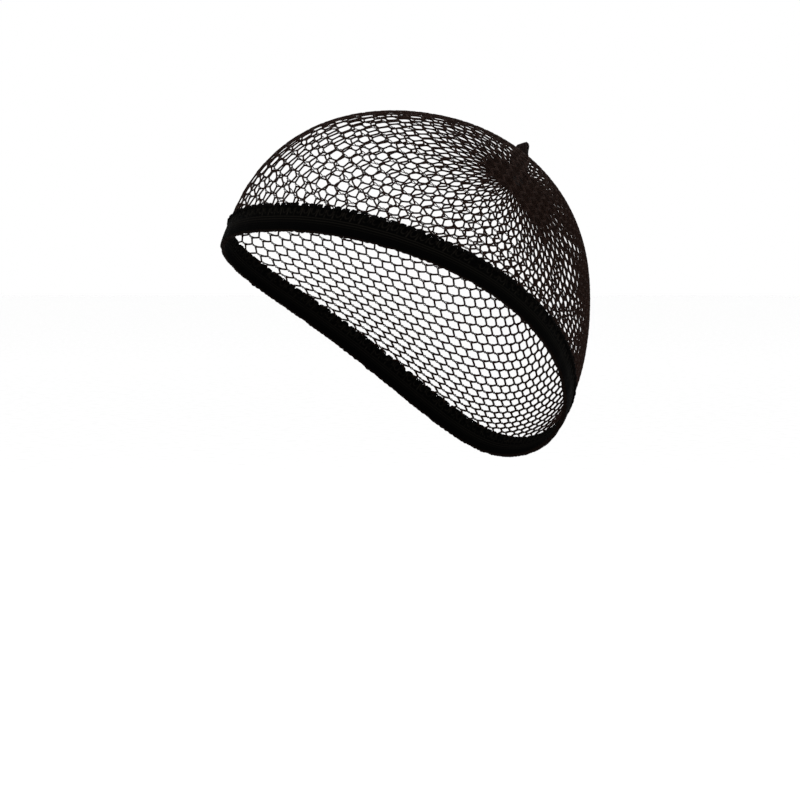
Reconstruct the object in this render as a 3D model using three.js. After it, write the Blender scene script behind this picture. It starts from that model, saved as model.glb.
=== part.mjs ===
// Hairnet: a fishnet cap with a knitted elastic band and a gathered tail at the crown.
// Lengths are millimetres and angles degrees. +Z is up, the front is -Y and the wearer's left is +X.
// The origin is the middle of the opening inside the band.
// The net is one wall in its worn form. Its coarse gaps have the staggered layout of the real meshes.

import * as THREE from "three";

// Form that the worn net takes, measured from the middle of that form
const sideReach = 75.1;
const frontReach = 89.6;
const backReach = 95.4;
const crownReach = 87.5;
const napeReach = 100.3;
// The form is broader and higher at its front by these shares
const frontBreadthGain = 0.12;
const frontHeightGain = 0.075;
// Exponent of the form's round sections: 2 is an ellipse and more is fuller
const fullness = 2.21;
// Share of the reach over which the nape's depth blends into the crown's height
const blendDepth = 0.25;

// Elastic band: its lower edge rises and falls around the opening
const edgeMeanRise = -11.4;
const edgeTilt = 35.2;
const edgeSideLift = 3.8;
const bandHeight = 13.5;
const bandThickness = 2.1;
const bandSteps = 64;

// Net: a staggered layout of six-sided gaps between a rim at the band and a closed round at the crown
const netWall = 1;
const rimHeight = 3;
const strandWidth = 6;
const gapWidth = 18;
const columnPairs = 12;
const gapRows = 5;
// Half of the short side that two gaps of a column share, as a share of the columns' spacing
const linkShare = 0.3;
// The net gathers at this angle back from straight up, in a closed round of this radius
const gatherAngle = 51;
const closedRadius = 20;

// Gathered tail: it leaves the closed round squarely, then leans this far back from straight up
const tailLength = 18.6;
const tailSquareRise = 6.2;
const tailLean = 10;
const tailBreadth = 14;
const tailDepth = 9;
const tailFolds = 7;
const tailFoldDepth = 0.6;
const tailSteps = 42;

// Room left between pieces that touch on the real net
const seam = 0.4;

// Rows of the band's section: height up the band and depth out from its inside, as shares
const bandSection = [
  { up: 0.0, out: 0.25 },
  { up: 0.05, out: 0.0 },
  { up: 0.95, out: 0.0 },
  { up: 1.0, out: 0.25 },
  { up: 1.0, out: 0.55 },
  { up: 0.94, out: 0.7 },
  { up: 0.66, out: 0.66 },
  { up: 0.38, out: 0.88 },
  { up: 0.12, out: 1.0 },
  { up: 0.0, out: 0.72 },
];

// Rows of the tail's sections, from its foot to its tip: way along its axis, shift to the
// wearer's right as a share of its breadth, and breadth and depth as shares
const tailSections = [
  { along: 0.16, shift: 0.1, breadth: 0.8, depth: 0.86 },
  { along: 0.36, shift: 0.14, breadth: 0.7, depth: 0.74 },
  { along: 0.58, shift: 0.16, breadth: 0.7, depth: 0.72 },
  { along: 0.76, shift: 0.16, breadth: 0.68, depth: 0.7 },
  { along: 0.9, shift: 0.12, breadth: 0.62, depth: 0.62 },
  { along: 0.98, shift: 0.05, breadth: 0.4, depth: 0.44 },
];

const radians = THREE.MathUtils.degToRad;
const fullTurn = 2 * Math.PI;

// Direction from the middle of the form: the turn is 0 at the front and grows to the wearer's left
function directionAt(turn, rise) {
  const level = Math.cos(rise);
  return new THREE.Vector3(Math.sin(turn) * level, -Math.cos(turn) * level, Math.sin(rise));
}

// Distance from the middle of the form to its surface along a direction
function formRadius(direction) {
  const side = sideReach * (1 - frontBreadthGain * direction.y);
  const length = (frontReach + backReach + (backReach - frontReach) * direction.y) / 2;
  const above = 0.5 * (1 + Math.tanh(direction.z / blendDepth));
  const reach = napeReach + (crownReach - napeReach) * above;
  const height = reach * (1 - frontHeightGain * direction.y);
  const sum =
    Math.pow(Math.abs(direction.x) / side, fullness) +
    Math.pow(Math.abs(direction.y) / length, fullness) +
    Math.pow(Math.abs(direction.z) / height, fullness);
  return Math.pow(sum, -1 / fullness);
}

// Direction of the band's lower edge at a turn
function edgeDirection(turn) {
  const rise = edgeMeanRise + edgeTilt * Math.cos(turn) - edgeSideLift * Math.cos(2 * turn);
  return directionAt(turn, radians(rise));
}

const gatherDirection = directionAt(Math.PI, Math.PI / 2 - radians(gatherAngle));

// Direction part of the way from the band's lower edge at a turn, where climb is 0, to the gather
function climbDirection(turn, climb) {
  const start = edgeDirection(turn);
  const arc = start.angleTo(gatherDirection);
  return start
    .multiplyScalar(Math.sin((1 - climb) * arc))
    .addScaledVector(gatherDirection, Math.sin(climb * arc))
    .divideScalar(Math.sin(arc));
}

// Share of the climb that a length takes at a turn, near the band or near the gather
function climbShare(turn, length, direction) {
  return length / (formRadius(direction) * edgeDirection(turn).angleTo(gatherDirection));
}

// The part's origin: halfway between the front and the back of the band's lower edge
function edgePoint(turn) {
  const direction = edgeDirection(turn);
  return direction.multiplyScalar(formRadius(direction));
}
const opening = edgePoint(0).add(edgePoint(Math.PI)).multiplyScalar(0.5);

// Point on the worn form, moved out from it, in the part's frame
function wornPoint(turn, climb, out) {
  const direction = climbDirection(turn, climb);
  return direction.multiplyScalar(formRadius(direction) + out).sub(opening);
}

// Mesh geometry from points and the corner numbers of its triangles
function geometryOf(points, triangles) {
  const geometry = new THREE.BufferGeometry();
  geometry.setAttribute(
    "position",
    new THREE.Float32BufferAttribute(points.flatMap((point) => point.toArray()), 3),
  );
  geometry.setIndex(triangles.flat());
  return geometry;
}

// Triangles of the strip between two closed rings of as many points
function ringStrip(first, second, count) {
  const triangles = [];
  for (let step = 0; step < count; step += 1) {
    const next = (step + 1) % count;
    triangles.push([first + step, first + next, second + next]);
    triangles.push([first + step, second + next, second + step]);
  }
  return triangles;
}

// Knitted band: its section carried around the opening
function bandGeometry() {
  const points = [];
  for (const row of bandSection) {
    for (let step = 0; step < bandSteps; step += 1) {
      const turn = (fullTurn * step) / bandSteps;
      const climb = climbShare(turn, row.up * bandHeight, edgeDirection(turn));
      points.push(wornPoint(turn, climb, row.out * bandThickness));
    }
  }
  const triangles = bandSection.flatMap((row, index) => {
    const following = (index + 1) % bandSection.length;
    return ringStrip(following * bandSteps, index * bandSteps, bandSteps);
  });
  return geometryOf(points, triangles);
}

// The layout has a column to each step across and half a gap's height to each step up.
// It starts at the rim's lower edge, has its gaps from 0 to layoutTop and ends at the gather.
const gapColumns = 2 * columnPairs;
const layoutStart = -1;
const layoutTop = 2 * gapRows;
const closedSteps = 2;
const layoutEnd = layoutTop + closedSteps;

// Climb of a place in the layout
function netClimb(turn, up) {
  const rimEdge = climbShare(turn, bandHeight + seam, edgeDirection(turn));
  const lowest = climbShare(turn, bandHeight + seam + rimHeight, edgeDirection(turn));
  const highest = 1 - climbShare(turn, closedRadius, gatherDirection);
  if (up < 0) {
    return THREE.MathUtils.mapLinear(up, layoutStart, 0, rimEdge, lowest);
  }
  if (up > layoutTop) {
    return THREE.MathUtils.mapLinear(up, layoutTop, layoutEnd, highest, 1);
  }
  return THREE.MathUtils.mapLinear(up, 0, layoutTop, lowest, highest);
}

// Place of the layout on the worn form
function layoutPoint(across, up, out) {
  const turn = (fullTurn * across) / gapColumns;
  return wornPoint(turn, netClimb(turn, up), out);
}

// Real size of one step across and one step up around a place in the layout
function layoutScale(across, up) {
  const left = layoutPoint(across - 0.5, up, 0);
  const right = layoutPoint(across + 0.5, up, 0);
  const below = layoutPoint(across, up - 0.5, 0);
  const above = layoutPoint(across, up + 0.5, 0);
  return new THREE.Vector2(left.distanceTo(right), below.distanceTo(above));
}

// Strands have their full width on the lowest row and narrow as the columns close up
const frontSpacing = layoutScale(0, 1).x;

// Outline of the cell around the middle of a gap, counterclockwise. A gap on the rim is a half one.
function cellOutline(across, up) {
  const near = linkShare;
  const far = 1 - linkShare;
  const upper = [[far, 0], [near, 1], [-near, 1], [-far, 0]];
  const lower = up === 0 ? [[0, 0]] : [[-near, -1], [near, -1]];
  return [...upper, ...lower].map(([x, y]) => new THREE.Vector2(across + x, up + y));
}

// Smallest width across a cell. A half cell is one step high.
function cellWidth(scale, up) {
  if (up === 0) {
    return scale.y;
  }
  const corner = scale.x * (1 - linkShare);
  const slant = Math.hypot(scale.x * (1 - 2 * linkShare), scale.y);
  return 2 * Math.min(scale.y, (corner * scale.y) / slant);
}

// Outline of the gap itself: the cell's outline moved in by half a strand, or more where the gap
// would be too wide
function gapOutline(outline, across, up) {
  const scale = layoutScale(across, up + 0.5);
  const strand = strandWidth * Math.min(1, scale.x / frontSpacing);
  const inset = Math.max(strand, cellWidth(scale, up) - gapWidth) / 2;
  const corners = outline.map((corner) => corner.clone().multiply(scale));
  const inward = corners.map((corner, index) => {
    const side = corners[(index + 1) % corners.length].clone().sub(corner).normalize();
    return new THREE.Vector2(-side.y, side.x);
  });
  return corners.map((corner, index) => {
    const before = inward[(index + corners.length - 1) % corners.length];
    const after = inward[index];
    const shift = before.clone().add(after).multiplyScalar(inset / (1 + before.dot(after)));
    return corner.add(shift).divide(scale);
  });
}

// Flat triangles of the layout, which share their corners
class LayoutSheet {
  constructor() {
    this.corners = [];
    this.numbers = new Map();
    this.triangles = [];
  }

  // Number of a corner: places a whole turn apart are one, and so are all places at the gather
  numberOf(place) {
    const across = (place.x + gapColumns) % gapColumns;
    const key = place.y === layoutEnd ? "gather" : `${across.toFixed(4)} ${place.y.toFixed(4)}`;
    if (!this.numbers.has(key)) {
      this.numbers.set(key, this.corners.length);
      this.corners.push(place);
    }
    return this.numbers.get(key);
  }

  // Triangle between three places, unless two of them are the same corner
  addTriangle(...places) {
    const numbers = places.map((place) => this.numberOf(place));
    if (new Set(numbers).size === numbers.length) {
      this.triangles.push(numbers);
    }
  }

  addQuad(first, second, third, fourth) {
    this.addTriangle(first, second, third);
    this.addTriangle(first, third, fourth);
  }

  // Band of quads between two lines of places, the lower one first
  addStrip(lower, upper) {
    for (let index = 0; index < lower.length; index += 1) {
      const next = (index + 1) % lower.length;
      this.addQuad(lower[index], lower[next], upper[next], upper[index]);
    }
  }

  // Sides that only one triangle has, in that triangle's direction
  openSides() {
    const sides = this.triangles.flatMap(([a, b, c]) => [[a, b], [b, c], [c, a]]);
    const known = new Set(sides.map((side) => side.join(" ")));
    return sides.filter(([start, end]) => !known.has(`${end} ${start}`));
  }

  // Closed body: the sheet on the worn form, a copy outside it, and a wall along each open side
  bodyGeometry(wall) {
    const count = this.corners.length;
    const inner = this.corners.map((place) => layoutPoint(place.x, place.y, 0));
    const outer = this.corners.map((place) => layoutPoint(place.x, place.y, wall));
    const triangles = [];
    for (const [a, b, c] of this.triangles) {
      triangles.push([a, c, b], [a + count, b + count, c + count]);
    }
    for (const [start, end] of this.openSides()) {
      triangles.push([start, end, end + count], [start, end + count, start + count]);
    }
    return geometryOf([...inner, ...outer], triangles);
  }
}

// Places at one height of the layout, given by their shifts from the middle of each even column
function layoutLine(up, shifts) {
  const line = [];
  for (let across = 0; across < gapColumns; across += 2) {
    line.push(...shifts.map((shift) => new THREE.Vector2(across + shift, up)));
  }
  return line;
}

// Net: cells with a gap each, the rim below them and the closed round above them
function netGeometry() {
  const sheet = new LayoutSheet();
  for (let across = 0; across < gapColumns; across += 1) {
    const lowest = across % 2 === 0 ? 1 : 0;
    for (let up = lowest; up < layoutTop; up += 2) {
      const cell = cellOutline(across, up);
      sheet.addStrip(cell, gapOutline(cell, across, up));
    }
  }
  const rimShifts = [-linkShare, linkShare, 1];
  sheet.addStrip(layoutLine(layoutStart, rimShifts), layoutLine(0, rimShifts));
  const closedShifts = [-linkShare, linkShare];
  for (let across = 1; across < gapColumns; across += 2) {
    const [right, , , left, lowerLeft, lowerRight] = cellOutline(across, layoutTop);
    sheet.addQuad(lowerLeft, lowerRight, right, left);
  }
  for (let up = layoutTop; up < layoutEnd; up += 1) {
    sheet.addStrip(layoutLine(up, closedShifts), layoutLine(up + 1, closedShifts));
  }
  return sheet.bodyGeometry(netWall);
}

// Point of the tail's foot, which lies on the net around the gather
function footPoint(shift) {
  const direction = gatherDirection.clone().multiplyScalar(formRadius(gatherDirection)).add(shift);
  direction.normalize();
  return direction.multiplyScalar(formRadius(direction) + netWall + seam).sub(opening);
}

// Gathered tail: folded sections along an axis that leaves the net squarely and then rises
function tailGeometry() {
  const foot = footPoint(new THREE.Vector3());
  const lean = directionAt(Math.PI, Math.PI / 2 - radians(tailLean));
  const tip = foot.clone().addScaledVector(lean, tailLength);
  const bend = foot.clone().addScaledVector(gatherDirection, tailSquareRise);
  const axis = new THREE.QuadraticBezierCurve3(foot, bend, tip);
  const leftward = new THREE.Vector3(1, 0, 0);
  const sectionShift = (step, breadth, depth, along) => {
    const turn = (fullTurn * step) / tailSteps;
    const fold = tailFoldDepth * Math.cos(tailFolds * turn);
    const backward = leftward.clone().cross(axis.getTangent(along)).negate();
    return leftward
      .clone()
      .multiplyScalar(Math.cos(turn) * (breadth / 2 + fold))
      .addScaledVector(backward, Math.sin(turn) * (depth / 2 + fold));
  };
  const points = [foot];
  for (let step = 0; step < tailSteps; step += 1) {
    points.push(footPoint(sectionShift(step, tailBreadth, tailDepth, 0)));
  }
  for (const row of tailSections) {
    const centre = axis.getPoint(row.along).addScaledVector(leftward, -row.shift * tailBreadth);
    for (let step = 0; step < tailSteps; step += 1) {
      const shift = sectionShift(step, row.breadth * tailBreadth, row.depth * tailDepth, row.along);
      points.push(centre.clone().add(shift));
    }
  }
  points.push(tip);
  const triangles = [];
  const last = points.length - 1;
  for (let step = 0; step < tailSteps; step += 1) {
    const next = (step + 1) % tailSteps;
    triangles.push([0, 1 + next, 1 + step]);
    triangles.push([last, last - tailSteps + step, last - tailSteps + next]);
  }
  for (let row = 0; row < tailSections.length; row += 1) {
    triangles.push(...ringStrip(1 + row * tailSteps, 1 + (row + 1) * tailSteps, tailSteps));
  }
  return geometryOf(points, triangles);
}

const blackElastic = new THREE.MeshStandardMaterial({ color: 0x0c0c0d, roughness: 0.95, metalness: 0 });
const darkYarn = new THREE.MeshStandardMaterial({ color: 0x1a1210, roughness: 0.85, metalness: 0 });
const gatheredYarn = new THREE.MeshStandardMaterial({ color: 0x120e0d, roughness: 0.9, metalness: 0 });

// Named mesh of one sub-part
function subPart(name, geometry, material) {
  const mesh = new THREE.Mesh(geometry, material);
  mesh.name = name;
  return mesh;
}

const hairnet = new THREE.Group();
hairnet.add(subPart("elastic_band", bandGeometry(), blackElastic));
hairnet.add(subPart("net", netGeometry(), darkYarn));
hairnet.add(subPart("gathered_tail", tailGeometry(), gatheredYarn));

export default hairnet;
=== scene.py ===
"""Hairnet: a fishnet cap on a knitted elastic band, in its worn form, drawn in fine yarn.

All lengths are metres. +Z is up, the front is -Y and +X is the left side as worn. The origin is
the middle of the opening inside the band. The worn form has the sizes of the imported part.
"""

import logging
import math
from dataclasses import dataclass
from enum import Enum

import bmesh
import bpy
import numpy as np
from mathutils import Matrix, Vector


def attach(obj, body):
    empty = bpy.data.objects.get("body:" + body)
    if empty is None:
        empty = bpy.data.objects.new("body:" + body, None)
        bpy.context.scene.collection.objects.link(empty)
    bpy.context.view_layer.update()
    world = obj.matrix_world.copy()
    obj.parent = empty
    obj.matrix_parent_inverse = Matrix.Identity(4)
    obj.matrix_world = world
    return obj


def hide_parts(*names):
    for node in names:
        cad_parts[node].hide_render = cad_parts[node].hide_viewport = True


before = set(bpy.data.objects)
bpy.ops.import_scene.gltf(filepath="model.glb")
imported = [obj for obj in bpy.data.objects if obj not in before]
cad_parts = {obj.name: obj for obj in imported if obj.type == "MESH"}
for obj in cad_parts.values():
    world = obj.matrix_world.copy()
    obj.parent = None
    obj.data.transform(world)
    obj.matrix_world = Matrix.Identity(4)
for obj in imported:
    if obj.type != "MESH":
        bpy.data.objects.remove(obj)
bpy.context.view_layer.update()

log = logging.getLogger("hairnet")

MM = 0.001
FULL_TURN = 2 * math.pi
BODY = "root"
MIX_FIRST, MIX_SECOND, MIX_RESULT = 6, 7, 2


class Slot(Enum):
    """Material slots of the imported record."""

    ELASTIC = "elastic"
    NET_YARN = "net_yarn"
    GATHERED_YARN = "gathered_yarn"


def unit(vectors: np.ndarray) -> np.ndarray:
    """Scale vectors to a length of one."""
    return vectors / np.maximum(np.linalg.norm(vectors, axis=-1, keepdims=True), 1e-12)


def direction_at(turn: np.ndarray, rise: np.ndarray) -> np.ndarray:
    """Point from the middle of the form along a turn and a rise.

    Args:
        turn: Angle around the form in radians, 0 at the front and growing to the left side as worn.
        rise: Angle above the level in radians.

    Returns:
        Directions of length one.
    """
    turn, rise = np.broadcast_arrays(turn, rise)
    level = np.cos(rise)
    return np.stack([np.sin(turn) * level, -np.cos(turn) * level, np.sin(rise)], axis=-1)


@dataclass(frozen=True)
class WornForm:
    """The rounded form that the net takes, with the band's edge and the gather on it."""

    side_reach: float = 75.1 * MM
    front_reach: float = 89.6 * MM
    back_reach: float = 95.4 * MM
    crown_reach: float = 87.5 * MM
    nape_reach: float = 100.3 * MM
    front_breadth_gain: float = 0.12
    front_height_gain: float = 0.075
    fullness: float = 2.21
    blend_depth: float = 0.25
    edge_mean_rise: float = math.radians(-11.4)
    edge_tilt: float = math.radians(35.2)
    edge_side_lift: float = math.radians(3.8)
    gather_angle: float = math.radians(51)

    def radius(self, directions: np.ndarray) -> np.ndarray:
        """Measure from the middle of the form to its surface.

        Args:
            directions: Directions of length one.

        Returns:
            Distances.
        """
        x, y, z = np.moveaxis(directions, -1, 0)
        side = self.side_reach * (1 - self.front_breadth_gain * y)
        length = (self.front_reach + self.back_reach + (self.back_reach - self.front_reach) * y) / 2
        above = 0.5 * (1 + np.tanh(z / self.blend_depth))
        reach = self.nape_reach + (self.crown_reach - self.nape_reach) * above
        height = reach * (1 - self.front_height_gain * y)
        reaches = ((x, side), (y, length), (z, height))
        total = sum(np.abs(part / reach) ** self.fullness for part, reach in reaches)
        return total ** (-1 / self.fullness)

    def edge_direction(self, turn: np.ndarray) -> np.ndarray:
        """Point at the band's lower edge."""
        lift = self.edge_tilt * np.cos(turn) - self.edge_side_lift * np.cos(2 * np.asarray(turn))
        return direction_at(turn, self.edge_mean_rise + lift)

    @property
    def gather(self) -> np.ndarray:
        """Direction of the place where the net gathers."""
        return direction_at(np.array(math.pi), np.array(math.pi / 2 - self.gather_angle))

    @property
    def opening(self) -> np.ndarray:
        """Middle of the opening, measured from the middle of the form."""
        ends = self.edge_direction(np.array([0, math.pi]))
        return (ends * self.radius(ends)[:, None]).mean(axis=0)

    def arc(self, turn: np.ndarray) -> np.ndarray:
        """Angle from the band's lower edge to the gather."""
        return np.arccos(np.clip(self.edge_direction(turn) @ self.gather, -1, 1))

    def climb_direction(self, turn: np.ndarray, climb: np.ndarray) -> np.ndarray:
        """Point part of the way from the band's lower edge to the gather.

        Args:
            turn: Angles around the form.
            climb: Shares of the way, 0 at the edge and 1 at the gather.

        Returns:
            Directions of length one.
        """
        turn, climb = np.broadcast_arrays(turn, climb)
        arc = self.arc(turn)[..., None]
        share = climb[..., None]
        start = np.sin((1 - share) * arc) * self.edge_direction(turn)
        return unit(start + np.sin(share * arc) * self.gather)

    def edge_share(self, turn: np.ndarray, length: np.ndarray) -> np.ndarray:
        """Turn a length up from the band's lower edge into a share of the climb."""
        return length / (self.radius(self.edge_direction(turn)) * self.arc(turn))

    def place(self, directions: np.ndarray, out: np.ndarray) -> np.ndarray:
        """Put points on the form or out from it, in the part's frame.

        Args:
            directions: Directions from the middle of the form.
            out: Distances out from the form.

        Returns:
            Points.
        """
        return directions * (self.radius(directions) + out)[..., None] - self.opening

    def worn(self, turn: np.ndarray, climb: np.ndarray, out: np.ndarray) -> np.ndarray:
        """Put points on the form by turn and climb."""
        return self.place(self.climb_direction(turn, climb), out)

    def outward(self, points: np.ndarray) -> np.ndarray:
        """Point away from the middle of the form at points of the part's frame."""
        return unit(points + self.opening)


@dataclass(frozen=True)
class MeshLayout:
    """Where the net's meshes lie: columns run up from the band and rows run around the form.

    A mesh stands on each place whose column and row are both even or both odd.
    """

    form: WornForm
    band_height: float = 13.5 * MM
    columns: int = 88
    last_row: float = 42.74
    half_link: float = 0.275
    corner_sharpness: float = 0.09
    first_turn: float = math.radians(16.74)
    sway: float = math.radians(-1.5)
    spiral: float = math.radians(-8.49)
    front_crowding: float = 1.268
    crowding_change: float = -0.283
    edge_rows: tuple = (-5.96, 2.13, 0.66, -0.54)
    nape_ease: float = 0.16
    ease_turn: float = math.radians(46)
    ease_start: float = 0.5
    ease_reach: float = 0.4
    noise_rows: int = 96
    rows_below: int = 24
    wander: float = 0.035
    seed: int = 7

    def turn_of(self, column: np.ndarray) -> np.ndarray:
        """Turn at which a column leaves the band."""
        even = self.first_turn + FULL_TURN * column / self.columns
        return even + self.sway * np.sin(2 * even)

    def edge_row(self, column: np.ndarray) -> np.ndarray:
        """Find the row that the band's upper edge cuts.

        Args:
            column: Columns.

        Returns:
            The row at each column.
        """
        turn = self.turn_of(column)
        mean, front, ends, left = self.edge_rows
        return mean + front * np.cos(turn) + ends * np.cos(2 * turn) + left * np.sin(turn)

    def noise(self, column: np.ndarray, row: np.ndarray, shift: int) -> np.ndarray:
        """Small uneven shift that stays the same for one place in the net.

        Args:
            column: Columns, of which the nearest whole one counts.
            row: Rows, between which the shift changes smoothly.
            shift: Number that sets apart the shifts of two directions.

        Returns:
            Shifts from -wander to wander.
        """
        generator = np.random.default_rng(self.seed + shift)
        table = generator.uniform(-1, 1, (self.columns, self.noise_rows))
        line = np.round(column).astype(int) % self.columns
        place = row + self.rows_below
        below = np.floor(place).astype(int)
        share = place - below
        share = share * share * (3 - 2 * share)
        return self.wander * (table[line, below] * (1 - share) + table[line, below + 1] * share)

    def climb(self, column: np.ndarray, row: np.ndarray) -> tuple[np.ndarray, np.ndarray]:
        """Turn and climb of a place in the net.

        Args:
            column: Places across, in columns.
            row: Places up, in rows.

        Returns:
            Turns and climbs on the worn form.
        """
        leaving = self.turn_of(column)
        edge = self.edge_row(column)
        share = (row - edge) / (self.last_row - edge)
        crowding = self.front_crowding + self.crowding_change * np.cos(leaving)
        behind = 0.5 - 0.5 * np.cos(leaving - self.ease_turn)
        ease = self.nape_ease * np.clip((behind - self.ease_start) / self.ease_reach, 0, 1)
        lifted = np.clip(share, 0, 1) + ease
        curved = (lifted**crowding - ease**crowding) / ((1 + ease) ** crowding - ease**crowding)
        curved = curved + np.minimum(share, 0)
        band = self.form.edge_share(leaving, self.band_height)
        return leaving + self.spiral * share, band + (1 - band) * curved

    def wale_column(self, wale: np.ndarray, row: np.ndarray) -> np.ndarray:
        """Place a zigzag strand across. It runs to the left of the column of its number.

        Args:
            wale: Numbers of the strands.
            row: Places up, in rows.

        Returns:
            Places across, in columns.
        """
        reach = 0.5 - self.half_link
        phase = math.pi * (row - wale)
        sharp = self.corner_sharpness
        swing = (np.cos(phase) + sharp * np.cos(3 * phase)) / (1 + sharp)
        return wale + 0.5 + reach * swing + self.noise(wale, row, 0)

    def wale_point(self, wale: np.ndarray, row: np.ndarray, out: np.ndarray) -> np.ndarray:
        """Point of a zigzag strand."""
        turn, climb = self.climb(self.wale_column(wale, row), row + self.noise(wale, row, 1))
        return self.form.worn(turn, climb, out)


class MeshBuilder:
    """Collects vertices, faces and their two yarn coordinates for one mesh."""

    def __init__(self) -> None:
        """Start with nothing."""
        self.points: list[np.ndarray] = []
        self.quads: list[np.ndarray] = []
        self.maps: list[np.ndarray] = []
        self.count = 0

    def add_grids(self, grids: np.ndarray, across: np.ndarray, along: np.ndarray) -> None:
        """Add grids of points that close on themselves across.

        Args:
            grids: Points as an array of grids, rows, steps across and three coordinates.
            across: First yarn coordinate at each step and one step past the last.
            along: Second yarn coordinate of each grid and row.
        """
        number, rows, steps, _ = grids.shape
        base = self.count + np.arange(number)[:, None, None] * rows * steps
        row = np.arange(rows - 1)[None, :, None] * steps
        step = np.arange(steps)[None, None, :]
        following = (step + 1) % steps
        corners = [base + row + step, base + row + following]
        corners += [base + row + steps + following, base + row + steps + step]
        self.quads.append(np.stack(corners, axis=-1).reshape(-1, 4))
        shape = (number, rows - 1, steps)
        low = np.broadcast_to(along[:, :-1, None], shape)
        high = np.broadcast_to(along[:, 1:, None], shape)
        left = np.broadcast_to(across[:-1], shape)
        right = np.broadcast_to(across[1:], shape)
        corner_maps = ((left, low), (right, low), (right, high), (left, high))
        maps = [np.stack(pair, axis=-1) for pair in corner_maps]
        self.maps.append(np.stack(maps, axis=3).reshape(-1, 4, 2))
        self.points.append(grids.reshape(-1, 3))
        self.count += number * rows * steps

    def add_yarns(self, paths: np.ndarray, radii: np.ndarray, outward: np.ndarray, sides: int) -> None:
        """Add round yarns along paths, with closed ends.

        Args:
            paths: Points as an array of yarns, steps along and three coordinates.
            radii: Radius of each yarn at each step.
            outward: Direction away from the form at each point.
            sides: Faces around a yarn.
        """
        forward = unit(np.gradient(paths, axis=1))
        side = unit(np.cross(outward, forward))
        rise = np.cross(forward, side)
        angle = FULL_TURN * np.arange(sides) / sides
        ring = np.cos(angle)[:, None] * side[:, :, None] + np.sin(angle)[:, None] * rise[:, :, None]
        tubes = paths[:, :, None] + radii[:, :, None, None] * ring
        first, last = (np.repeat(end[:, :, None], sides, axis=2) for end in (paths[:, :1], paths[:, -1:]))
        closed = np.concatenate([first, tubes, last], axis=1)
        lengths = np.linalg.norm(np.diff(paths, axis=1), axis=2).cumsum(axis=1)
        along = np.concatenate([np.zeros((len(paths), 2)), lengths, lengths[:, -1:]], axis=1)
        self.add_grids(closed, np.arange(sides + 1) / sides, along)

    def build(self, name: str, material: bpy.types.Material) -> bpy.types.Object:
        """Make the object of everything that was collected.

        Args:
            name: Name of the piece.
            material: Its finish.

        Returns:
            The object, in the scene.
        """
        points = np.concatenate(self.points)
        quads = np.concatenate(self.quads)
        maps = np.concatenate(self.maps)
        mesh = bpy.data.meshes.new(name)
        mesh.vertices.add(len(points))
        mesh.vertices.foreach_set("co", points.astype(np.float32).ravel())
        mesh.loops.add(quads.size)
        mesh.loops.foreach_set("vertex_index", quads.astype(np.int32).ravel())
        mesh.polygons.add(len(quads))
        mesh.polygons.foreach_set("loop_start", np.arange(0, quads.size, 4, dtype=np.int32))
        layer = mesh.uv_layers.new(name="yarn")
        layer.uv.foreach_set("vector", maps.astype(np.float32).ravel())
        mesh.update(calc_edges=True)
        tidy_mesh(mesh)
        mesh.materials.append(material)
        piece = bpy.data.objects.new(name, mesh)
        bpy.context.scene.collection.objects.link(piece)
        return piece


def tidy_mesh(mesh: bpy.types.Mesh) -> None:
    """Merge the corners that lie on one point, and shade the faces smooth.

    Args:
        mesh: Mesh to change.
    """
    work = bmesh.new()
    work.from_mesh(mesh)
    bmesh.ops.remove_doubles(work, verts=work.verts, dist=1e-7)
    bmesh.ops.dissolve_degenerate(work, edges=work.edges, dist=1e-8)
    for face in work.faces:
        face.smooth = True
    work.to_mesh(mesh)
    work.free()


class Shade:
    """A shader socket that can be used in sums, as numbers are."""

    def __init__(self, finish: "FinishTree", socket: bpy.types.NodeSocket) -> None:
        """Wrap a socket of a finish."""
        self.finish = finish
        self.socket = socket

    def math(self, operation: str, *others: "Shade | float") -> "Shade":
        """Add one Math node that starts from this socket.

        Args:
            operation: Name of the Math node's operation.
            others: Its other values or sockets.

        Returns:
            The node's result.
        """
        inputs = dict(enumerate((self, *others)))
        return self.finish.add("ShaderNodeMath", {"operation": operation}, inputs)

    def __add__(self, other: "Shade | float") -> "Shade":
        """Sum."""
        return self.math("ADD", other)

    __radd__ = __add__

    def __mul__(self, other: "Shade | float") -> "Shade":
        """Product."""
        return self.math("MULTIPLY", other)

    __rmul__ = __mul__

    def __sub__(self, other: "Shade | float") -> "Shade":
        """Difference."""
        return self.math("SUBTRACT", other)

    def __rsub__(self, other: float) -> "Shade":
        """Difference from a number."""
        return self * -1 + other

    def wave(self) -> "Shade":
        """Smooth wave from 0 to 1 that peaks at each whole number."""
        return (self * FULL_TURN).math("COSINE") * 0.5 + 0.5

    def tent(self) -> "Shade":
        """Straight-sided wave from 0 at each whole number to 0.5 halfway between two."""
        return self.math("PINGPONG", 0.5)

    def step(self, low: float, high: float) -> "Shade":
        """Smooth rise from 0 at one value to 1 at another."""
        inputs = {"Value": self, "From Min": low, "From Max": high}
        return self.finish.add("ShaderNodeMapRange", {"interpolation_type": "SMOOTHSTEP"}, inputs)


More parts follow.
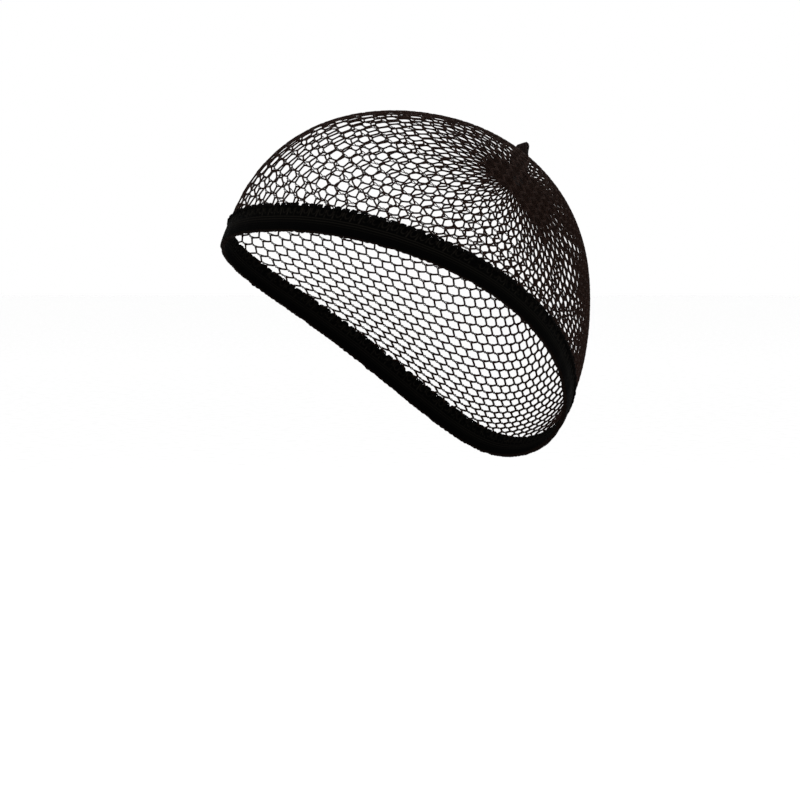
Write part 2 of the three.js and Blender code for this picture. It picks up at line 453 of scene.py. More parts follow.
class FinishTree:
    """Node tree of one material."""

    def __init__(self, name: str) -> None:
        """Start a material with a Principled shader."""
        self.material = bpy.data.materials.new(name)
        self.material.use_nodes = True
        self.tree = self.material.node_tree
        self.shader = self.tree.nodes["Principled BSDF"]

    def set(self, node: bpy.types.Node, inputs: dict) -> None:
        """Give values or links to a node's sockets.

        Args:
            node: The node.
            inputs: Values or sockets by socket name or number.
        """
        for key, value in inputs.items():
            if isinstance(value, Shade):
                self.tree.links.new(value.socket, node.inputs[key])
            else:
                node.inputs[key].default_value = value

    def add(self, kind: str, settings: dict, inputs: dict, output: str | int = 0) -> Shade:
        """Add a node.

        Args:
            kind: Type of the node.
            settings: Its settings, set first.
            inputs: Values or links of its sockets.
            output: Name or number of the result to use.

        Returns:
            The result.
        """
        node = self.tree.nodes.new(kind)
        for key, value in settings.items():
            setattr(node, key, value)
        self.set(node, inputs)
        return Shade(self, node.outputs[output])

    def dressed(self, inputs: dict) -> bpy.types.Material:
        """Give the shader its values or links, and hand over the material."""
        self.set(self.shader, inputs)
        return self.material

    def yarn_map(self) -> tuple[Shade, Shade]:
        """Read both yarn coordinates.

        Returns:
            The coordinate across and the coordinate along.
        """
        place = self.add("ShaderNodeUVMap", {"uv_map": "yarn"}, {})
        parts = [self.add("ShaderNodeSeparateXYZ", {}, {0: place}, axis) for axis in (0, 1)]
        return parts[0], parts[1]

    def noise(self, scale: float, detail: float = 2.0) -> Shade:
        """Even noise on the object's own coordinates.

        Args:
            scale: Spots in a metre.
            detail: Number of finer layers.

        Returns:
            Values around 0.5.
        """
        place = self.add("ShaderNodeTexCoord", {}, {}, "Object")
        return self.add("ShaderNodeTexNoise", {}, {"Vector": place, "Scale": scale, "Detail": detail})

    def mix(self, share: Shade, first: tuple | Shade, second: tuple | Shade) -> Shade:
        """Mix two colours.

        Args:
            share: Share of the second colour.
            first: Colour at 0, as red, green and blue.
            second: Colour at 1.

        Returns:
            The mixed colour.
        """
        colours = {"Factor": share, MIX_FIRST: colour(first), MIX_SECOND: colour(second)}
        return self.add("ShaderNodeMix", {"data_type": "RGBA"}, colours, MIX_RESULT)

    def bump(self, height: Shade, distance: float) -> Shade:
        """Raise the surface by a height from 0 to 1.

        Args:
            height: The height.
            distance: Metres that a height of 1 stands for.

        Returns:
            The changed normal.
        """
        return self.add("ShaderNodeBump", {}, {"Height": height, "Distance": distance})


def colour(value: tuple | Shade) -> tuple | Shade:
    """Give red, green and blue a full opacity, and leave a socket as it is."""
    return value if isinstance(value, Shade) else (*value, 1.0)


@dataclass(frozen=True)
class YarnFinish:
    """Stretchy black yarn, knitted as a chain: matt, with a soft reddish-brown sheen, worn patches, and
    painted shade in the valleys of its stitches.
    """

    name: str = "net_yarn"
    dark: tuple = (0.0046, 0.0019, 0.0013)
    # Lighter colour of worn patches and of the stitch crests; against dark in the valleys it is painted
    # shade.
    worn: tuple = (0.0120, 0.0056, 0.0038)
    sheen: tuple = (0.60, 0.36, 0.26)
    sheen_weight: float = 0.012
    sheen_roughness: float = 0.45
    specular: float = 0.04
    least_roughness: float = 0.74
    roughness_range: float = 0.22
    patches_per_metre: float = 900
    fibres_per_metre: float = 5200
    wear_and_shade_edge: tuple = (0.45, 1.0)
    # How far the knit's height lightens the crests: painted shade, darker in the valleys.
    painted_valley_shade: float = 0.35
    stitch: float = 1.15 * MM
    plies: int = 3
    ply_lay: float = 3.1
    ply_share: float = 0.3
    relief: float = 0.09 * MM

    def material(self) -> bpy.types.Material:
        """Make the material.

        Returns:
            The material.
        """
        finish = FinishTree(self.name)
        around, along = finish.yarn_map()
        legs = (along * (1 / self.stitch) + around.tent()).wave()
        plies = (along * (self.ply_lay / self.stitch) - around * self.plies).wave()
        height = legs * (1 - self.ply_share) + plies * self.ply_share
        patches = finish.noise(self.patches_per_metre)
        # Noise gives real worn patches; the knit's height adds painted shade, darker in the stitch
        # valleys.
        share = (patches + height * self.painted_valley_shade).step(*self.wear_and_shade_edge)
        fibres = finish.noise(self.fibres_per_metre, 1.0)
        inputs = {
            "Base Color": finish.mix(share, self.dark, self.worn),
            "Roughness": self.least_roughness + fibres * self.roughness_range,
            "Normal": finish.bump(height, self.relief),
            "Sheen Weight": self.sheen_weight,
            "Sheen Roughness": self.sheen_roughness,
            "Sheen Tint": colour(self.sheen),
            "Specular IOR Level": self.specular,
        }
        return finish.dressed(inputs)


@dataclass(frozen=True)
class ElasticFinish:
    """Knitted elastic: near-black, with upright rows of stitches above and cords below, painted shade in
    the knit's valleys and a painted shadow line along the lower edge.
    """

    name: str = "elastic"
    dark: tuple = (0.0002, 0.0002, 0.0002)
    # Colour of the raised knit; against dark in the valleys it is painted shade.
    raised: tuple = (0.0040, 0.0035, 0.0027)
    # The next three set a painted reddish-brown shadow line along the band's lower edge: its colour,
    # strength and height.
    edge: tuple = (0.0026, 0.0013, 0.0009)
    edge_share: float = 0.8
    shadow_line_rise: tuple = (0.1 * MM, 0.8 * MM)
    sheen: tuple = (0.6, 0.54, 0.48)
    sheen_weight: float = 0.002
    sheen_roughness: float = 0.5
    specular: float = 0.008
    least_roughness: float = 0.74
    roughness_range: float = 0.22
    fibres_per_metre: float = 3800
    fibre_colour: float = 0.5
    fibre_relief: float = 0.3
    gaps_per_metre: float = 500
    gap_edge: tuple = (0.25, 0.6)
    cord_zone: float = 7.2 * MM
    zone_blend: float = 0.3 * MM
    cords: int = 6
    lowest_cords: float = 0.1
    cord_fade: float = 0.7
    cord_fade_reach: tuple = (0.3, 0.8)
    bar_edge: tuple = (0.05, 0.13)
    ring_middle: float = 10.1 * MM
    ring_height: float = 1.7 * MM
    ring_breadth: float = 0.29
    ring_edge: tuple = (0.12, 0.4)
    ring_share: float = 0.8
    # Weight of the knit's height in the colour: painted shade, darker in its valleys.
    knit_painted_shade: float = 0.6
    knit_relief: float = 0.85
    shade_and_fibre_edge: tuple = (0.3, 0.95)
    relief: float = 0.16 * MM

    def material(self) -> bpy.types.Material:
        """Make the material.

        Returns:
            The material.
        """
        finish = FinishTree(self.name)
        column, rise = finish.yarn_map()
        upper = rise.step(self.cord_zone - self.zone_blend, self.cord_zone + self.zone_blend)
        bar = 1 - column.tent().step(*self.bar_edge)
        across = (0.5 - column.tent()) * (1 / self.ring_breadth)
        high = (rise - self.ring_middle) * (1 / self.ring_height)
        reach = (across * across + high * high).math("SQRT")
        ring = 1 - (reach - 1).math("ABSOLUTE").step(*self.ring_edge)
        gaps = finish.noise(self.gaps_per_metre).step(*self.gap_edge)
        stitches = bar.math("MAXIMUM", ring * self.ring_share) * gaps
        start, end = (share * self.cord_zone for share in self.cord_fade_reach)
        fade = rise.step(start, end) * self.cord_fade + self.lowest_cords
        cords = (rise * (self.cords / self.cord_zone) - 0.5).wave() * fade
        height = stitches * upper + cords * (1 - upper)
        fibres = finish.noise(self.fibres_per_metre, 3.0)
        # Fibres vary the tone; the knit's height paints shade, darker in the knit's valleys.
        share = (height * self.knit_painted_shade + fibres * self.fibre_colour).step(*self.shade_and_fibre_edge)
        # Mask of the painted shadow line along the lower edge.
        low = 1 - rise.step(*self.shadow_line_rise)
        surface = finish.mix(share, self.dark, self.raised)
        bumps = height * self.knit_relief + fibres * self.fibre_relief
        inputs = {
            "Base Color": finish.mix(low * self.edge_share, surface, self.edge),
            "Roughness": self.least_roughness + fibres * self.roughness_range,
            "Normal": finish.bump(bumps, self.relief),
            "Sheen Weight": self.sheen_weight,
            "Sheen Roughness": self.sheen_roughness,
            "Sheen Tint": colour(self.sheen),
            "Specular IOR Level": self.specular,
        }
        return finish.dressed(inputs)


@dataclass(frozen=True)
class FloorFinish:
    """Plain pale floor with a faint grain."""

    name: str = "pale_floor"
    pale: tuple = (0.955, 0.955, 0.955)
    grain: tuple = (0.965, 0.965, 0.967)
    grains_per_metre: float = 40
    grain_edge: tuple = (0.3, 0.7)
    least_roughness: float = 0.18
    roughness_range: float = 0.06
    specular: float = 0.5

    def material(self) -> bpy.types.Material:
        """Make the material.

        Returns:
            The material.
        """
        finish = FinishTree(self.name)
        speckle = finish.noise(self.grains_per_metre)
        inputs = {
            "Base Color": finish.mix(speckle.step(*self.grain_edge), self.pale, self.grain),
            "Roughness": self.least_roughness + speckle * self.roughness_range,
            "Specular IOR Level": self.specular,
        }
        return finish.dressed(inputs)


@dataclass(frozen=True)
class FishnetCap:
    """The net: zigzag strands from the band to the gather, tied to their neighbours by links."""

    form: WornForm
    layout: MeshLayout
    strand: float = 0.83 * MM
    knot_gain: float = 0.16
    knot_sharpness: int = 4
    slack_gain: float = 0.28
    strand_sides: int = 5
    steps_per_row: int = 4
    tuck: float = 1.3
    tuck_start: float = 0.2
    tuck_lift: float = 0.2 * MM
    tuck_squeeze: float = 0.3
    end_row: float = 42.35
    least_step: float = 0.1
    out: float = 0.5 * MM
    gather_reach: float = 9 * MM
    gather_rise: float = 3.2 * MM
    link_yarn: float = 0.44 * MM
    link_steps: int = 8
    link_sides: int = 4
    upper_feet: tuple = (0.50, 0.20)
    lower_feet: tuple = (0.16, 0.20)
    leaving_bend: float = 0.9
    crossings: tuple = (0.46, 0.84)
    eyelet: float = 0.38 * MM
    crossing_lift: float = 0.2 * MM
    looseness: float = 0.25
    first_link_row: int = -12
    last_link_row: int = 38
    link_room: float = 0.4
    relaxed_size: tuple = (0.25, 0.17)
    yarn_area: float = 0.023

    @property
    def pole(self) -> np.ndarray:
        """Point on the form where the net gathers."""
        return self.form.place(self.form.gather[None], np.zeros(1))[0]

    def slack(self, column: np.ndarray) -> np.ndarray:
        """Thickness of a yarn beside the front's, as it is stretched less towards the back."""
        return 1 + self.slack_gain * np.sin(self.layout.turn_of(column) / 2) ** 2

    def strands(self, material: bpy.types.Material) -> bpy.types.Object:
        """Build the zigzag strands.

        Args:
            material: Finish of the yarn.

        Returns:
            The piece.
        """
        wales = np.arange(self.layout.columns, dtype=float)
        starts = np.floor(self.layout.edge_row(wales + 0.5) - self.tuck)
        builder = MeshBuilder()
        for start in np.unique(starts):
            steps = np.arange(start, self.end_row - self.least_step, 1 / self.steps_per_row)
            row = np.append(steps, self.end_row)
            wale, row = np.broadcast_arrays(wales[starts == start][:, None], row)
            flat = self.layout.wale_point(wale, row, np.zeros(row.shape))
            away = np.linalg.norm(flat - self.pole, axis=-1)
            rise = self.gather_rise * np.clip(1 - away / self.gather_reach, 0, 1) ** 2
            tucked = np.clip(self.layout.edge_row(wale + 0.5) + self.tuck_start - row, 0, 1)
            paths = self.layout.wale_point(wale, row, self.out + rise + self.tuck_lift * tucked)
            knot = 1 + self.knot_gain * np.cos(math.pi * row) ** self.knot_sharpness
            radii = self.strand / 2 * self.slack(wale) * knot * (1 - self.tuck_squeeze * tucked)
            builder.add_yarns(paths, radii, self.form.outward(paths), self.strand_sides)
        return builder.build("net_strands", material)

    def link_places(self) -> tuple[np.ndarray, np.ndarray]:
        """List where links tie two strands.

        Returns:
            Column and row of each link.
        """
        all_rows = np.arange(self.first_link_row, self.last_link_row + 1)
        columns, rows = np.meshgrid(np.arange(self.layout.columns), all_rows)
        odd = (columns + rows) % 2 == 1
        above = rows > self.layout.edge_row(columns.astype(float)) - self.link_room
        chosen = odd & above
        return columns[chosen].astype(float), rows[chosen].astype(float)

    def link_paths(self, sign: int, feet: tuple) -> tuple[np.ndarray, np.ndarray]:
        """Lead one yarn of each link from a leg of one strand to a leg of the next.

        Args:
            sign: 1 for the yarn that starts above the middle of the link, -1 for the other.
            feet: Rows from the middle of the link to the yarn's first and last point.

        Returns:
            Points of each yarn, and the outward directions there.
        """
        column, row = self.link_places()
        generator = np.random.default_rng(self.layout.seed + sign)
        loose = generator.uniform(1 - self.looseness, 1 + self.looseness, (3, len(row), 1))
        share = np.linspace(0, 1, self.link_steps + 1)[None, :]
        first, last = self.crossings
        leaving = np.clip(1 - share / first, 0, 1) ** self.leaving_bend
        arriving = np.clip((share - last) / (1 - last), 0, 1)
        place = row[:, None] + sign * (feet[0] * loose[0] * leaving + feet[1] * loose[1] * arriving)
        right = self.layout.wale_point(column[:, None] - 1, place, np.array(self.out))
        left = self.layout.wale_point(column[:, None], place, np.array(self.out))
        paths = right + (left - right) * share[..., None]
        outward = self.form.outward(paths)
        upward = unit(np.cross(outward, left - right))
        between = np.clip((share - first) / (last - first), 0, 1)
        swing = -sign * self.eyelet * loose[2] * np.sin(math.pi * between)
        lift = sign * self.crossing_lift * np.cos(math.pi * (share - first) / (last - first))
        return paths + swing[..., None] * upward + lift[..., None] * outward, outward

    def links(self, material: bpy.types.Material) -> list[bpy.types.Object]:
        """Build the links: two finer yarns each, which leave the strands' legs, cross and join.

        Args:
            material: Finish of the yarn.

        Returns:
            The pieces, one of the upper and one of the lower yarns.
        """
        pieces = []
        radius = self.link_yarn / 2 * self.slack(self.link_places()[0])[:, None]
        yarns = (("net_links_upper", 1, self.upper_feet), ("net_links_lower", -1, self.lower_feet))
        for name, sign, feet in yarns:
            paths, outward = self.link_paths(sign, feet)
            builder = MeshBuilder()
            builder.add_yarns(paths, radius * np.ones(paths.shape[:2]), outward, self.link_sides)
            pieces.append(builder.build(name, material))
        return pieces

    def build(self) -> list[bpy.types.Object]:
        """Build and place the net's pieces.

        Returns:
            The pieces.
        """
        material = YarnFinish().material()
        strands, links = self.strands(material), self.links(material)
        for piece in (strands, *links):
            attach(piece, BODY)
            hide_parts("net")
        return [strands, *links]


@dataclass(frozen=True)
class ElasticBand:
    """The knitted band: upright rows of stitches over a few cords, with loops along its top edge."""

    form: WornForm
    height: float = 13.5 * MM
    thickness: float = 2.1 * MM
    profile_rises: tuple = (0.06, 0.38, 0.66, 0.94, 1.0)
    profile_depths: tuple = (1.0, 0.88, 0.66, 0.7, 0.6)
    inner_steps: int = 14
    outer_steps: int = 38
    inner_room: float = 0.6 * MM
    outer_room: float = 0.3 * MM
    rim_rise: float = 0.1 * MM
    rim_depths: tuple = (0.3, 1.3)
    inner_relief: float = -0.5
    roll_height: float = 0.9 * MM
    roll_turns: tuple = (20, 50, 80, 115, 150)
    stitches: int = 138
    steps_per_stitch: int = 11
    cord_zone: float = 7.2 * MM
    zone_blend: float = 0.8 * MM
    cords: int = 6
    rib_relief: float = 0.16 * MM
    rib_sharpness: int = 4
    cord_relief: float = 0.12 * MM
    waves: range = range(9, 60, 4)
    wave_depth: float = 0.12 * MM
    scallop: float = 0.26 * MM
    scallop_reach: float = 4 * MM
    small_scallops: range = range(150, 240, 9)
    wide_scallops: range = range(30, 90, 7)
    tooth: float = 0.16 * MM
    tooth_reach: float = 1.2 * MM
    teeth: range = range(180, 330, 13)
    loop_room: float = 1.6 * MM
    loop_foot: float = 0.75 * MM
    loop_yarn: float = 0.85 * MM
    loop_rise: float = 1.45 * MM
    loop_steps: int = 11
    loop_sides: int = 5
    loop_lean: float = 0.12
    loop_seat: float = 0.66
    seat_spread: float = 0.16
    loop_curl: float = 0.2 * MM
    yarn_spread: float = 0.15
    squareness: float = 0.42
    place_spread: float = 0.16
    loop_widths: tuple = (0.27, 0.43)
    loop_drops: tuple = (0.05, 0.35)
    inner_shift: float = 0.1
    inner_share: float = 0.6
    inner_drop: float = 0.62 * MM
    bump_yarn: float = 0.6 * MM
    bump_rise: float = 0.3 * MM
    bump_rises: tuple = (-0.3, 1)
    bump_widths: tuple = (0.22, 0.34)
    bump_places: tuple = (-0.62, 0.02, 0.6)
    bump_spread: float = 0.12
    calm_start: float = math.radians(34)
    calm_reach: float = math.radians(30)
    calm_width: float = 0.12
    calm_drop: float = 0.06
    calm_levelling: float = 0.7
    calm_bumps: float = 0.75
    seed: int = 21

    @property
    def ring_top(self) -> float:
        """Height of the knitted ring, under the loops of the top edge."""
        return self.height - self.loop_room

    def wander(self, turn: np.ndarray, waves: range, shift: int) -> np.ndarray:
        """Sum of seeded waves around the band, from about -1 to 1.

        Args:
            turn: Angles around the band.
            waves: Numbers of waves around.
            shift: Number that sets apart two sums.

        Returns:
            The sum.
        """
        generator = np.random.default_rng(self.seed + shift)
        total = np.zeros_like(turn)
        for count in waves:
            total = total + np.sin(count * turn + generator.uniform(0, FULL_TURN))
        return total / math.sqrt(len(waves))

    def outer_depth(self, rise: np.ndarray) -> np.ndarray:
        """Depth of the outer face by height, with a rolled lower edge and a soft waist."""
        return self.thickness * np.interp(rise / self.height, self.profile_rises, self.profile_depths)

    def knit_relief(self, column: np.ndarray, rise: np.ndarray) -> np.ndarray:
        """Height of the stitches and cords on the outer face.

        Args:
            column: Places around, in stitches.
            rise: Heights above the lower edge.

        Returns:
            Depths to add.
        """
        upper = np.clip((rise - self.cord_zone) / self.zone_blend, 0, 1)
        rib = 0.5 + 0.5 * np.cos(FULL_TURN * column)
        cord = 0.5 + 0.5 * np.cos(FULL_TURN * (rise / self.cord_zone * self.cords - 0.5))
        ribs = self.rib_relief * (rib**self.rib_sharpness - 1) * upper
        return ribs + self.cord_relief * (cord - 1) * (1 - upper)

    def profile(self) -> tuple[np.ndarray, np.ndarray, np.ndarray]:
        """Follow the ring's section up the inner face, down the outer face and round the lower edge.

        Returns:
            Rises, depths and shares of the knit's relief.
        """
        top = self.ring_top
        inner = np.linspace(self.inner_room, top - self.inner_room, self.inner_steps)
        outer = np.linspace(top - self.outer_room, self.roll_height, self.outer_steps)
        roll = np.radians(np.array(self.roll_turns))
        below = self.roll_height * (1 - np.sin(np.minimum(roll, math.pi / 2)))
        rise = np.concatenate([inner, [top - self.rim_rise, top], outer, below])
        middle = self.thickness / 2
        rim = [share * middle for share in self.rim_depths]
        roll_depth = middle + middle * np.cos(roll)
        depth = np.concatenate([np.zeros(len(inner)), rim, self.outer_depth(outer), roll_depth])
        counts = (len(inner), len(rim), len(outer), len(roll))
        return rise, depth, np.repeat([self.inner_relief, 0.0, 1.0, 0.0], counts)

    def body(self, builder: MeshBuilder) -> None:
        """Build the band's closed ring.

        Args:
            builder: Mesh to add to.
        """
        steps = self.stitches * self.steps_per_stitch
        turn = FULL_TURN * np.arange(steps)[None, :] / steps
        rises, depths, weights = self.profile()
        rise, depth = rises[:, None], depths[:, None]
        relief = self.knit_relief(self.stitches * turn / FULL_TURN, rise) * weights[:, None]
        wave = self.wander(turn, self.waves, 0) * self.wave_depth
        small, wide = self.wander(turn, self.small_scallops, 1), self.wander(turn, self.wide_scallops, 2)
        scallops = (0.5 * small + 0.5 * wide) * self.scallop * np.clip(1 - rise / self.scallop_reach, 0, 1)
        near_top = np.clip((rise - self.ring_top + self.tooth_reach) / self.tooth_reach, 0, 1)
        lift = rise + scallops + near_top * self.tooth * self.wander(turn, self.teeth, 3)
        out = np.maximum(depth + relief + wave * (depth > self.thickness / 2), 0)
        turn = np.broadcast_to(turn, out.shape)
        points = self.form.worn(turn, self.form.edge_share(turn, lift), out)
        closed = np.concatenate([points, points[:1]])
        across = self.stitches * np.arange(steps + 1) / steps
        builder.add_grids(closed[None], across, np.append(rises, rises[0])[None])

    def add_arches(
        self, builder: MeshBuilder, middle: np.ndarray, width: np.ndarray, lift: np.ndarray, yarn: float
    ) -> None:
        """Add arches of yarn that stand in the top edge.

        Args:
            builder: Mesh to add to.
            middle: Turn of each arch's middle.
            width: Turn from there to its feet.
            lift: Height of its top over the band's lower edge.
            yarn: Thickness of the yarn.
        """
        generator = np.random.default_rng(self.seed + len(middle))
        uneven = generator.uniform(-1, 1, (3, len(middle), 1))
        arch = np.linspace(0, math.pi, self.loop_steps)[None, :]
        foot = self.ring_top - self.loop_foot
        leaning = self.loop_lean * uneven[0] * np.sin(arch)
        turn = middle[:, None] - width[:, None] * (np.cos(arch) - leaning)
        rise = foot + (lift[:, None] - foot) * np.sin(arch) ** self.squareness
        seat = self.thickness * (self.loop_seat + self.seat_spread * uneven[1])
        out = seat + self.loop_curl * np.cos(arch * 2 + 2 * uneven[2])
        paths = self.form.worn(turn, self.form.edge_share(turn, rise), out)
        radii = yarn / 2 * (1 + self.yarn_spread * uneven[2]) * np.ones_like(arch)
        builder.add_yarns(paths, radii, self.form.outward(paths), self.loop_sides)

    def edge_loops(self, builder: MeshBuilder) -> None:
        """Build the top edge: flat loops with small bumps, uneven at the front and calmer behind it.

        Args:
            builder: Mesh to add to.
        """
        generator = np.random.default_rng(self.seed)
        pitch = FULL_TURN / self.stitches
        count = self.stitches
        place = np.arange(count) + generator.uniform(-self.place_spread, self.place_spread, count)
        middle = pitch * place
        aside = np.abs((middle + math.pi) % FULL_TURN - math.pi)
        calm = np.clip((aside - self.calm_start) / self.calm_reach, 0, 1)
        width = pitch * (generator.uniform(*self.loop_widths, count) + self.calm_width * calm)
        uneven = generator.uniform(*self.loop_drops, count) * (1 - self.calm_levelling * calm)
        lift = self.height - self.loop_yarn / 2 - self.loop_rise * (uneven + self.calm_drop * calm)
        self.add_arches(builder, middle, width, lift, self.loop_yarn)
        inner = middle + self.inner_shift * width
        self.add_arches(builder, inner, self.inner_share * width, lift - self.inner_drop, self.loop_yarn)
        shape = (count, len(self.bump_places))
        moved = generator.uniform(-self.bump_spread, self.bump_spread, shape)
        rises = generator.uniform(*self.bump_rises, shape)
        raised = self.bump_rise * rises * (1 - self.calm_bumps * calm[:, None])
        bumps = (middle[:, None] + width[:, None] * (np.array(self.bump_places) + moved)).ravel()
        narrow = np.repeat(width, shape[1]) * generator.uniform(*self.bump_widths, bumps.shape)
        self.add_arches(builder, bumps, narrow, (lift[:, None] + raised).ravel(), self.bump_yarn)

    def build(self) -> list[bpy.types.Object]:
        """Build and place the band's pieces.

        Returns:
            The pieces.
        """
        ring, edging = MeshBuilder(), MeshBuilder()
        self.body(ring)
        self.edge_loops(edging)
        # Edging yarn: its lighter colour also lights the stitch crests, painting shade into the valleys.
        yarn = YarnFinish(
            name="edging_yarn",
            dark=(0.0003, 0.0003, 0.0004),
            worn=(0.0030, 0.0026, 0.0024),
            sheen_weight=0.002,
            specular=0.01,
        )
        pieces = [ring.build("elastic_band_knit", ElasticFinish().material())]
        pieces.append(edging.build("elastic_band_loops", yarn.material()))
        for piece in pieces:
            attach(piece, BODY)
            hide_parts("elastic_band")
        return pieces


@dataclass(frozen=True)
class GatheredTail:
    """The tail: the ends of the net's strands, drawn into folds and bunched to a soft point."""

    form: WornForm
    length: float = 18.6 * MM
    square_rise: float = 6.2 * MM
    lean: float = math.radians(10)
    breadth: float = 14 * MM
    depth: float = 9 * MM
    folds: int = 7
    fold_depth: float = 0.6 * MM
    fold_sweep: float = 2.2
    clearance: float = 1.4 * MM
    ways: tuple = (0.0, 0.16, 0.36, 0.58, 0.76, 0.9, 0.98, 1.0)
    shifts: tuple = (0.0, 0.1, 0.14, 0.16, 0.15, 0.09, 0.02, -0.03)
    tip_slope: float = 0.2
    breadths: tuple = (1.0, 0.8, 0.7, 0.7, 0.68, 0.62, 0.4, 0.08)
    depths: tuple = (1.0, 0.86, 0.74, 0.72, 0.7, 0.62, 0.44, 0.08)
    core_share: float = 0.8
    core_steps: int = 84
    core_rows: int = 30
    core_end: float = 0.97
    core_wraps: int = 10
    strands: int = 74
    strand: float = 0.62 * MM
    strand_steps: int = 26
    strand_sides: int = 5
    strand_spread: float = 0.35
    twist: float = math.radians(34)
    sway: float = 0.16
    sway_waves: float = 5
    lump: float = 0.05
    lump_waves: float = 17
    strand_seat: float = 0.93
    seat_spread: float = 0.05
    flares: tuple = (0.3, 0.75)
    flare_reach: float = 0.16
    thinning: float = 0.25
    first_step: float = -0.02
    last_step: float = 0.985
    seed: int = 5

    def axis(self, along: np.ndarray) -> tuple[np.ndarray, np.ndarray]:
        """Follow the tail's curved axis.

        Args:
            along: Shares of the way from the foot to the tip.

        Returns:
            Points and directions of length one.
        """
        gather = self.form.gather
        foot = self.form.place(gather[None], np.array([self.clearance]))[0]
        tip = foot + self.length * direction_at(np.array(math.pi), np.array(math.pi / 2 - self.lean))
        bend = foot + self.square_rise * gather
        t = np.asarray(along)[..., None]
        points = (1 - t) ** 2 * foot + 2 * t * (1 - t) * bend + t**2 * tip
        return points, unit(2 * (1 - t) * (bend - foot) + 2 * t * (tip - bend))

    def surface(self, turn: np.ndarray, along: np.ndarray, scale: np.ndarray) -> np.ndarray:
        """Put points on the folded outside of the tail, or inside it.

        Args:
            turn: Angles around the axis.
            along: Shares of the way up.
            scale: Share of the outside's reach.

        Returns:
            Points.
        """
        turn, along, scale = np.broadcast_arrays(turn, along, scale)
        centre, forward = self.axis(along)
        leftward = np.array([1.0, 0, 0])
        backward = -np.cross(leftward, forward)
        taper = np.interp(along, self.ways, self.breadths)
        half_breadth = self.breadth / 2 * taper
        half_depth = self.depth / 2 * np.interp(along, self.ways, self.depths)
        wave = np.cos(self.folds * turn + self.fold_sweep * along)
        fold = self.fold_depth * wave * np.minimum(1, 2 * taper)
        shift = -self.breadth * np.interp(along, self.ways, self.shifts)
        aside = np.cos(turn) * (half_breadth + fold) * scale
        behind = np.sin(turn) * (half_depth + fold) * scale
        upward = self.tip_slope * along**2 * (aside + behind)
        shaped = (aside + shift)[..., None] * leftward + behind[..., None] * backward
        return centre + shaped + upward[..., None] * forward

    def core(self, builder: MeshBuilder) -> None:
        """Build the folded mass inside the tail.

        Args:
            builder: Mesh to add to.
        """
        turn = FULL_TURN * np.arange(self.core_steps)[None, :] / self.core_steps
        rows = np.linspace(0.0, self.core_end, self.core_rows)
        along = np.concatenate([[0.0], rows, [self.last_step]])[:, None]
        scale = np.full(along.shape, self.core_share)
        scale[[0, -1]] = 0.0
        points = self.surface(turn, along, scale)
        across = self.core_wraps * np.arange(self.core_steps + 1) / self.core_steps
        builder.add_grids(points[None], across, (along[:, 0] * self.length)[None])

    def ends(self, builder: MeshBuilder) -> None:
        """Build the strands that run up the tail's outside and turn in at its tip.

        Args:
            builder: Mesh to add to.
        """
        generator = np.random.default_rng(self.seed)
        along = np.linspace(self.first_step, self.last_step, self.strand_steps)[None, :]
        above = np.clip(along, 0, 1)
        number = np.arange(self.strands)[:, None]
        shape = number.shape
        spread = generator.uniform(-self.strand_spread, self.strand_spread, shape)
        sway = generator.uniform(-self.sway, self.sway, shape) * np.sin(along * self.sway_waves + number)
        turn = FULL_TURN * (number + spread) / self.strands + self.twist * along + sway
        start = generator.uniform(0, FULL_TURN, shape)
        lumps = self.lump * np.sin(along * self.lump_waves + start)
        seat = self.strand_seat + lumps + generator.uniform(-self.seat_spread, self.seat_spread, shape)
        foot = np.clip(1 - along / self.flare_reach, 0, 1) ** 2
        scale = seat * (1 + generator.uniform(*self.flares, shape) * foot)
        sink = np.clip(-along, 0, 1)[..., None] * self.length
        paths = self.surface(turn, above, scale) - sink * self.form.gather
        centre, _ = self.axis(np.broadcast_to(above, turn.shape))
        radii = self.strand / 2 * (1 - self.thinning * above) * np.ones_like(turn)
        builder.add_yarns(paths, radii, unit(paths - centre), self.strand_sides)

    def build(self) -> list[bpy.types.Object]:
        """Build and place the tail.

        Returns:
            The piece, in a list.
        """
        builder = MeshBuilder()
        self.core(builder)
        self.ends(builder)
        # Tail yarn: its lighter colour also lights the stitch crests, painting shade into the valleys.
        yarn = YarnFinish(name="gathered_yarn", dark=(0.0042, 0.0032, 0.003), worn=(0.016, 0.0105, 0.009))
        tail = builder.build("gathered_tail_folds", yarn.material())
        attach(tail, BODY)
        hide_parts("gathered_tail")
        return [tail]


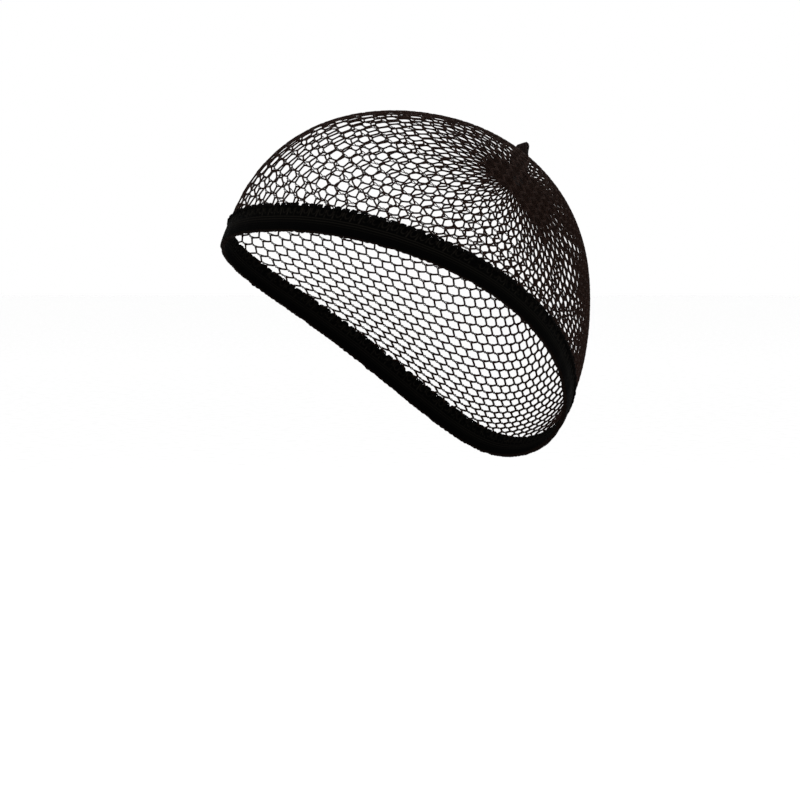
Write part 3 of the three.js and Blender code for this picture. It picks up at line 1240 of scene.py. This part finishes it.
@dataclass(frozen=True)
class Studio:
    """Camera, floor, pale surroundings and soft lights."""

    form_middle: tuple
    azimuth: float = math.radians(46.19)
    elevation: float = math.radians(2.67)
    distance: float = 1.2045
    aim_right: float = -5.05 * MM
    aim_up: float = -46.77 * MM
    lens: float = 114.87
    floor_height: float = -0.32
    floor_radius: float = 60.0
    floor_corners: int = 96
    surround: tuple = (1.0, 1.0, 1.0)
    surround_strength: float = 1.0
    lights: tuple = (
        ("key_light", (0.2, -1.6, 1.3), 1.1, 28),
        ("fill_light", (1.7, -0.3, 0.5), 1.2, 12),
        ("top_light", (-0.3, 0.4, 1.8), 1.0, 16),
    )

    def view_axes(self) -> tuple[np.ndarray, np.ndarray, np.ndarray]:
        """Turn the camera's angles into directions.

        Returns:
            The camera's right, up and backward directions.
        """
        back = direction_at(np.array(self.azimuth), np.array(self.elevation))
        right = np.array([math.cos(self.azimuth), math.sin(self.azimuth), 0.0])
        return right, np.cross(back, right), back

    def camera(self) -> None:
        """Put the camera at the photograph's angle."""
        right, up, back = self.view_axes()
        data = bpy.data.cameras.new("camera")
        data.sensor_width = 36
        data.lens = self.lens
        data.clip_end = 100
        aim = np.array(self.form_middle) + self.aim_right * right + self.aim_up * up
        place = aim + self.distance * back
        camera = bpy.data.objects.new("camera", data)
        axes = Matrix((right, up, back)).transposed().to_4x4()
        camera.matrix_world = Matrix.Translation(Vector(place)) @ axes
        bpy.context.scene.collection.objects.link(camera)
        bpy.context.scene.camera = camera

    def floor(self) -> bpy.types.Object:
        """Lay the floor.

        Returns:
            The floor.
        """
        work = bmesh.new()
        bmesh.ops.create_circle(work, cap_ends=True, radius=self.floor_radius, segments=self.floor_corners)
        for corner in work.verts:
            corner.co.z = self.floor_height
        mesh = bpy.data.meshes.new("floor")
        work.to_mesh(mesh)
        work.free()
        mesh.materials.append(FloorFinish().material())
        floor = bpy.data.objects.new("floor", mesh)
        bpy.context.scene.collection.objects.link(floor)
        return floor

    def surroundings(self) -> None:
        """Give the scene pale, even surroundings."""
        world = bpy.data.worlds.new("surroundings")
        world.use_nodes = True
        background = world.node_tree.nodes["Background"]
        background.inputs["Color"].default_value = (*self.surround, 1.0)
        background.inputs["Strength"].default_value = self.surround_strength
        bpy.context.scene.world = world
        bpy.context.scene.view_settings.view_transform = "Standard"

    def light(self, name: str, place: tuple, size: float, power: float) -> None:
        """Hang a soft square light that faces the object.

        Args:
            name: Name of the light.
            place: Where it hangs.
            size: Side of the light.
            power: Its power in watts.
        """
        data = bpy.data.lights.new(name, "AREA")
        data.size = size
        data.energy = power
        lamp = bpy.data.objects.new(name, data)
        lamp.location = place
        towards = Vector(self.form_middle) - Vector(place)
        lamp.rotation_euler = towards.to_track_quat("-Z", "Y").to_euler()
        bpy.context.scene.collection.objects.link(lamp)

    def build(self) -> list[bpy.types.Object]:
        """Build the whole studio.

        Returns:
            The floor, in a list.
        """
        self.camera()
        self.surroundings()
        for name, place, size, power in self.lights:
            self.light(name, place, size, power)
        return [self.floor()]


def main() -> None:
    """Build every sub-assembly in order and report each piece."""
    logging.basicConfig(level=logging.INFO, format="%(name)s: %(message)s")
    form = WornForm()
    layout = MeshLayout(form)
    parts = [
        Studio(form_middle=tuple(-form.opening)),
        FishnetCap(form, layout),
        ElasticBand(form),
        GatheredTail(form),
    ]
    for part in parts:
        for piece in part.build():
            triangles = sum(len(face.vertices) - 2 for face in piece.data.polygons)
            log.info("%s: %s with %d triangles", type(part).__name__, piece.name, triangles)


if __name__ == "__main__":
    main()
